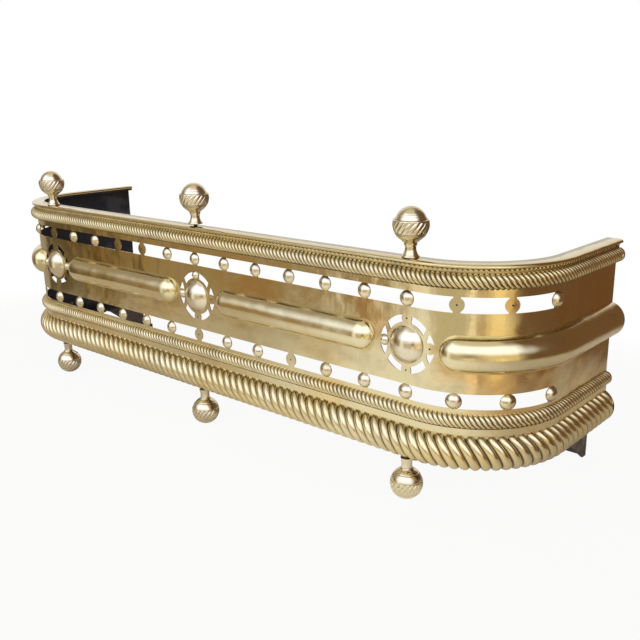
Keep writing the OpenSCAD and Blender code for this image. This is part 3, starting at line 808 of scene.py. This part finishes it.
def brass(name, clean, warm, dull, rough, dents, grime_and_shade_share, stain_and_reflection_patches=(), turned=False, waves=0):
    """Old polished brass: tarnish clouds, dirt and painted shade in the hollows, fine scratches and soft
    dents.
    """
    m = Nodes(name)
    wide = m.noise(7, 3, 0.55, m.scaled(1, 1, 1.6), 0.4)
    patch = m.noise(26, 4, 0.6)
    fine = m.noise(240, 4, 0.65)
    scratch = m.noise(1.0, 3, 0.6, m.scaled(90, 90, 900))
    colour = m.mix(m.remap(wide, 0.4, 0.66), clean, warm)
    # Orange patches: tarnish, and painted reflection of warm surroundings.
    for x, y, z, r in stain_and_reflection_patches:
        spot = m.add("ShaderNodeVectorMath", operation="DISTANCE")
        m.link(m.coord, spot.inputs[0])
        spot.inputs[1].default_value = (x, y, z)
        edge = m.math("DIVIDE", spot.outputs["Value"], r)
        edge = m.math("ADD", edge, m.remap(patch, 0.25, 0.75, -0.45, 0.45))
        colour = m.mix(m.remap(edge, 0.3, 1.2, 0.55, 0.0), colour, STAIN_AND_REFLECTION)
    colour = m.mix(m.remap(patch, 0.52, 0.8, 0, 0.5), colour, dull)
    colour = m.mix(m.remap(fine, 0.5, 0.8, 0, 0.4), colour, dull)
    # The cavity attribute darkens hollows, creases and undersides: dirt, and painted shade.
    grime_and_shade = m.math("MULTIPLY", m.attribute("cavity"), m.remap(patch, 0.3, 0.7, 0.75, 1.0), True)
    colour = m.mix(m.remap(grime_and_shade, 0.1, 0.95, 0, grime_and_shade_share), colour, DARK)
    m.link(colour, m.bsdf.inputs["Base Color"])
    r = m.remap(patch, 0.3, 0.75, rough, rough + 0.14)
    r = m.math("ADD", r, m.remap(scratch, 0.5, 0.8, 0, 0.06))
    r = m.math("ADD", r, m.remap(grime_and_shade, 0.15, 0.8, 0, 0.42), True)
    m.link(r, m.bsdf.inputs["Roughness"])
    n = m.bump(m.noise(15, 2, 0.5), dents, 0.004)
    n = m.bump(m.noise(60, 2, 0.5), dents * 0.4, 0.001, n)
    if turned:
        n = m.bump(m.noise(1.0, 2, 0.5, m.scaled(12, 12, 900)), 0.35, 0.0002, n)
    if waves:
        n = m.bump(m.noise(1.0, 3, 0.6, m.scaled(75, 75, 7)), waves, 0.0006, n)
    n = m.bump(scratch, 0.1, 0.0002, n)
    m.link(n, m.bsdf.inputs["Normal"])
    m.bsdf.inputs["Metallic"].default_value = 1.0
    return m.mat


def worn_paint(name, paint, worn, rough, wear_from):
    """Black paint, worn in patches that grow towards the rear from Y = wear_from."""
    m = Nodes(name)
    patch = m.noise(14, 5, 0.62, None, 0.5)
    fine = m.noise(160, 4, 0.6)
    y = m.add("ShaderNodeSeparateXYZ")
    m.link(m.coord, y.inputs[0])
    near = m.remap(y.outputs["Y"], wear_from, wear_from + 0.12, 0, 0.16)
    wear = m.remap(m.math("ADD", patch, near), 0.6, 0.72)
    colour = m.mix(wear, paint, worn)
    colour = m.mix(m.remap(fine, 0.5, 0.8, 0, 0.3), colour, tuple(c * 1.7 + 0.01 for c in worn))
    m.link(colour, m.bsdf.inputs["Base Color"])
    m.link(m.remap(patch, 0.3, 0.8, rough, rough + 0.25), m.bsdf.inputs["Roughness"])
    n = m.bump(fine, 0.25, 0.0006)
    m.link(m.bump(patch, 0.2, 0.002, n), m.bsdf.inputs["Normal"])
    return m.mat


def iron(name, colour_a, colour_b, rough, metallic):
    """Rough dark iron or steel, mottled between two colours."""
    m = Nodes(name)
    patch = m.noise(45, 5, 0.65)
    fine = m.noise(420, 4, 0.6)
    colour = m.mix(m.remap(patch, 0.35, 0.7), colour_a, colour_b)
    m.link(colour, m.bsdf.inputs["Base Color"])
    m.link(m.remap(fine, 0.3, 0.8, rough, rough + 0.2), m.bsdf.inputs["Roughness"])
    m.link(m.bump(fine, 0.4, 0.0008, m.bump(patch, 0.3, 0.002)), m.bsdf.inputs["Normal"])
    m.bsdf.inputs["Metallic"].default_value = metallic
    return m.mat


MATERIALS = {
    "panel_brass": brass("panel_brass_look", clean=(0.79, 0.68, 0.40), warm=(0.77, 0.60, 0.29),
                         dull=(0.56, 0.46, 0.26), rough=0.09, dents=0.55, grime_and_shade_share=0.85,
                         stain_and_reflection_patches=STAIN_AND_REFLECTION_PATCHES, waves=0.3),
    "pressed_brass": brass("pressed_brass_look", clean=(0.80, 0.69, 0.41), warm=(0.77, 0.63, 0.33),
                           dull=(0.57, 0.48, 0.28), rough=0.10, dents=0.40, grime_and_shade_share=0.9),
    "moulding_brass": brass("moulding_brass_look", clean=(0.80, 0.67, 0.38), warm=(0.76, 0.60, 0.29),
                            dull=(0.56, 0.46, 0.27), rough=0.15, dents=0.12, grime_and_shade_share=0.8),
    "cast_brass": brass("cast_brass_look", clean=(0.81, 0.71, 0.50), warm=(0.77, 0.65, 0.40),
                        dull=(0.58, 0.50, 0.33), rough=0.12, dents=0.15, grime_and_shade_share=0.95, turned=True),
    "black_paint": worn_paint("black_paint_look", paint=(0.011, 0.013, 0.019), worn=(0.048, 0.046, 0.048),
                              rough=0.45, wear_from=0.0),
    "bare_iron": iron("bare_iron_look", (0.11, 0.085, 0.065), (0.21, 0.17, 0.135), rough=0.55,
                      metallic=0.35),
    "steel_fixings": iron("steel_fixings_look", (0.16, 0.14, 0.12), (0.30, 0.28, 0.25), rough=0.4,
                          metallic=0.8),
}


def dress(obj, look):
    obj.data.materials.clear()
    obj.data.materials.append(MATERIALS[look])


slots = {part["node"]: part["material_slot"] for part in frame["record"]["subparts"]}
for node_name, obj in frame["nodes"].items():
    dress(obj, slots[node_name])
for obj, slot in PIECES:
    dress(obj, "pressed_brass" if obj.name.startswith(("cap", "bolster")) else slot)


# ---- floor, light and camera ----------------------------------------------------------------

def pale_floor():
    """Pale matt sheet with a soft edge, seen nearly white, that keeps the object's shadow.

    The brass shows it white only near the fender's right front, where glossy_centre is.
    """
    glossy_centre, glossy_in, glossy_out = (0.34, -0.52, 0), 0.25, 0.62
    white_share = 0.93
    m = Nodes("floor_look")
    m.t.nodes.remove(m.bsdf)
    diffuse = m.add("ShaderNodeBsdfDiffuse")
    diffuse.inputs["Color"].default_value = (0.63, 0.57, 0.47, 1)
    glow = m.add("ShaderNodeEmission")
    clear = m.add("ShaderNodeBsdfTransparent")
    path = m.add("ShaderNodeLightPath")
    front = m.add("ShaderNodeVectorMath", operation="DISTANCE")
    m.link(m.coord, front.inputs[0])
    front.inputs[1].default_value = glossy_centre
    near_front = m.remap(front.outputs["Value"], glossy_in, glossy_out, 1.0, 0.0)
    seen = m.math("MULTIPLY", path.outputs["Is Glossy Ray"], near_front)
    seen = m.math("MAXIMUM", seen, path.outputs["Is Camera Ray"])
    seen = m.math("MAXIMUM", seen, path.outputs["Is Transmission Ray"])
    surface = m.add("ShaderNodeMixShader")
    m.link(m.math("MULTIPLY", seen, white_share), surface.inputs[0])
    m.link(diffuse.outputs[0], surface.inputs[1])
    m.link(glow.outputs[0], surface.inputs[2])
    span = m.add("ShaderNodeVectorMath", operation="LENGTH")
    m.link(m.scaled(1 / 1.15, 1 / 0.85, 1), span.inputs[0])
    edge = m.add("ShaderNodeMixShader")
    m.link(m.remap(span.outputs["Value"], 0.72, 1.0), edge.inputs[0])
    m.link(surface.outputs[0], edge.inputs[1])
    m.link(clear.outputs[0], edge.inputs[2])
    m.link(edge.outputs[0], m.t.nodes["Material Output"].inputs["Surface"])
    return m.mat


floor_mesh = bpy.data.meshes.new("floor")
floor_mesh.from_pydata([(-1.2, -0.9, 0), (1.2, -0.9, 0), (1.2, 0.9, 0), (-1.2, 0.9, 0)], [], [(0, 1, 2, 3)])
floor = bpy.data.objects.new("floor", floor_mesh)
bpy.context.scene.collection.objects.link(floor)
floor_mesh.materials.append(pale_floor())


class World(Nodes):
    """The room round the sheet: soft pools of light and dark in a warm grey studio."""

    def __init__(self):
        world = bpy.data.worlds.new("studio")
        bpy.context.scene.world = world
        world.use_nodes = True
        self.t = world.node_tree
        self.coord = self.add("ShaderNodeTexCoord").outputs["Generated"]

    def level(self, azimuth, z=0.0):
        """Direction at an azimuth in degrees, from the front towards the right."""
        a = math.radians(azimuth)
        return (math.sin(a), -math.cos(a), z)

    def height(self):
        split = self.add("ShaderNodeSeparateXYZ")
        self.link(self.coord, split.inputs[0])
        return split.outputs["Z"]

    def near(self, toward, wide, narrow, z_scale=1.0):
        """One near a direction, fading to nothing from narrow to wide degrees off it.

        A z_scale under one makes the spot taller, and zero makes it a band from bottom to top.
        """
        look = self.add("ShaderNodeVectorMath", operation="NORMALIZE")
        self.link(self.scaled(1, 1, z_scale), look.inputs[0])
        dot = self.add("ShaderNodeVectorMath", operation="DOT_PRODUCT")
        self.link(look.outputs["Vector"], dot.inputs[0])
        dot.inputs[1].default_value = Vector(toward).normalized()
        return self.remap(dot.outputs["Value"], math.cos(math.radians(wide)), math.cos(math.radians(narrow)))

    def window(self, colour, azimuth, wide, narrow, low, high, tint):
        """A wide soft-edged light between two heights, each given as a pair of degrees."""
        across = self.near(self.level(azimuth), wide, narrow, 0)
        z = self.height()
        low, high = ([math.sin(math.radians(v)) for v in pair] for pair in (low, high))
        rise = self.math("MULTIPLY", across, self.remap(z, *low))
        return self.mix(self.math("MULTIPLY", rise, self.remap(z, *high, 1, 0)), colour, tint)

    def pool(self, colour, toward, wide, narrow, tint, z_scale=1.0):
        """Blends tint into colour round a direction."""
        return self.mix(self.near(toward, wide, narrow, z_scale), colour, tint)

    def streak(self, colour, azimuth, wide, narrow, tint):
        """A short upright glint, low in front."""
        return self.pool(colour, self.level(azimuth, -0.19), wide, narrow, tint, 1 / 1.6)

    def upright(self, colour, azimuth, wide, narrow, tint):
        """A tall pool, a little below eye level."""
        return self.pool(colour, self.level(azimuth, -0.06), wide, narrow, tint, 1 / 3.0)


# Later lines lie over earlier ones: the dim room, its walls and ceiling, darker and lighter uprights in
# front, glints, the wide window above eye level and the ground.
w = World()
room = w.pool((0.25, 0.165, 0.10), (-0.95, -0.3, 0.2), 75, 35, (0.38, 0.33, 0.27))
room = w.pool(room, (0, -0.1, 1), 45, 15, (0.75, 0.70, 0.55))
room = w.pool(room, (-0.76, -0.61, -0.2), 26, 14, (0.36, 0.26, 0.14))
room = w.upright(room, -65, 11, 7, (0.12, 0.095, 0.055))
room = w.upright(room, 135, 62, 40, (0.17, 0.095, 0.05))
room = w.upright(room, -24, 15, 8, (1.0, 0.98, 0.95))
room = w.upright(room, 5, 25, 15, (0.62, 0.56, 0.42))
room = w.upright(room, 58, 26, 14, (0.86, 0.71, 0.44))
room = w.streak(room, 59, 9, 5, (1.14, 0.95, 0.56))
room = w.streak(room, 39.5, 5, 2.5, (0.56, 0.42, 0.26))
room = w.streak(room, 30.5, 7, 4, (1.2, 1.08, 0.86))
room = w.window(room, 20, 88, 44, (0, 24), (50, 70), (1.45, 1.6, 2.1))
room = w.pool(room, (0, 0, -1), 75, 40, (0.45, 0.38, 0.28))
path = w.add("ShaderNodeLightPath")
backdrop = w.math("MULTIPLY", path.outputs["Is Glossy Ray"], w.near((-0.64, 0.74, 0.22), 48, 30))
backdrop = w.math("MULTIPLY", backdrop, w.remap(w.height(), -0.12, 0.08, 0, 0.85))
backdrop = w.math("MAXIMUM", backdrop, path.outputs["Is Camera Ray"])
backdrop = w.math("MAXIMUM", backdrop, path.outputs["Is Transmission Ray"])
background = w.t.nodes["Background"]
w.link(w.mix(backdrop, room, (1, 1, 1)), background.inputs["Color"])


def lamp(name, place_at, look_at, size_x, size_y, power):
    """A soft white lamp that the brass doesn't mirror."""
    data = bpy.data.lights.new(name, "AREA")
    data.shape = "RECTANGLE"
    data.size, data.size_y = size_x, size_y
    data.energy = power
    obj = bpy.data.objects.new(name, data)
    obj.location = place_at
    obj.rotation_euler = (Vector(look_at) - Vector(place_at)).to_track_quat("-Z", "Y").to_euler()
    obj.visible_glossy = False
    bpy.context.scene.collection.objects.link(obj)


lamp("key", (-0.9, -2.4, 1.9), (0, 0, 0.15), 1.5, 1.1, 9)
lamp("overhead", (0.1, 0.2, 2.6), (0, 0, 0.2), 2.0, 1.2, 6)
lamp("fill", (0.9, -2.3, 0.9), (0.2, 0, 0.2), 0.9, 0.9, 3)

# The photograph's camera: direction and roll in radians, place in metres, focal length in its pixels.
AZ, EL, ROLL = -0.7211, 0.2750, -0.0129
CAMERA_AT = (0.91328, -0.88548, 0.49580)
FOCAL_PIXELS = 810.26
PHOTO_PIXELS = 640
SENSOR = 36

forward = Vector((math.sin(AZ) * math.cos(EL), math.cos(AZ) * math.cos(EL), -math.sin(EL)))
right0 = Vector((math.cos(AZ), -math.sin(AZ), 0))
up0 = right0.cross(forward)
right = math.cos(ROLL) * right0 + math.sin(ROLL) * up0
up = -math.sin(ROLL) * right0 + math.cos(ROLL) * up0
camera_data = bpy.data.cameras.new("camera")
camera_data.sensor_width = SENSOR
camera_data.lens = SENSOR * FOCAL_PIXELS / PHOTO_PIXELS
camera = bpy.data.objects.new("camera", camera_data)
pose = Matrix((right, up, -forward)).transposed().to_4x4()
pose.translation = CAMERA_AT
camera.matrix_world = pose
bpy.context.scene.collection.objects.link(camera)
bpy.context.scene.camera = camera
bpy.context.scene.view_settings.view_transform = "Standard"

bpy.context.view_layer.update()
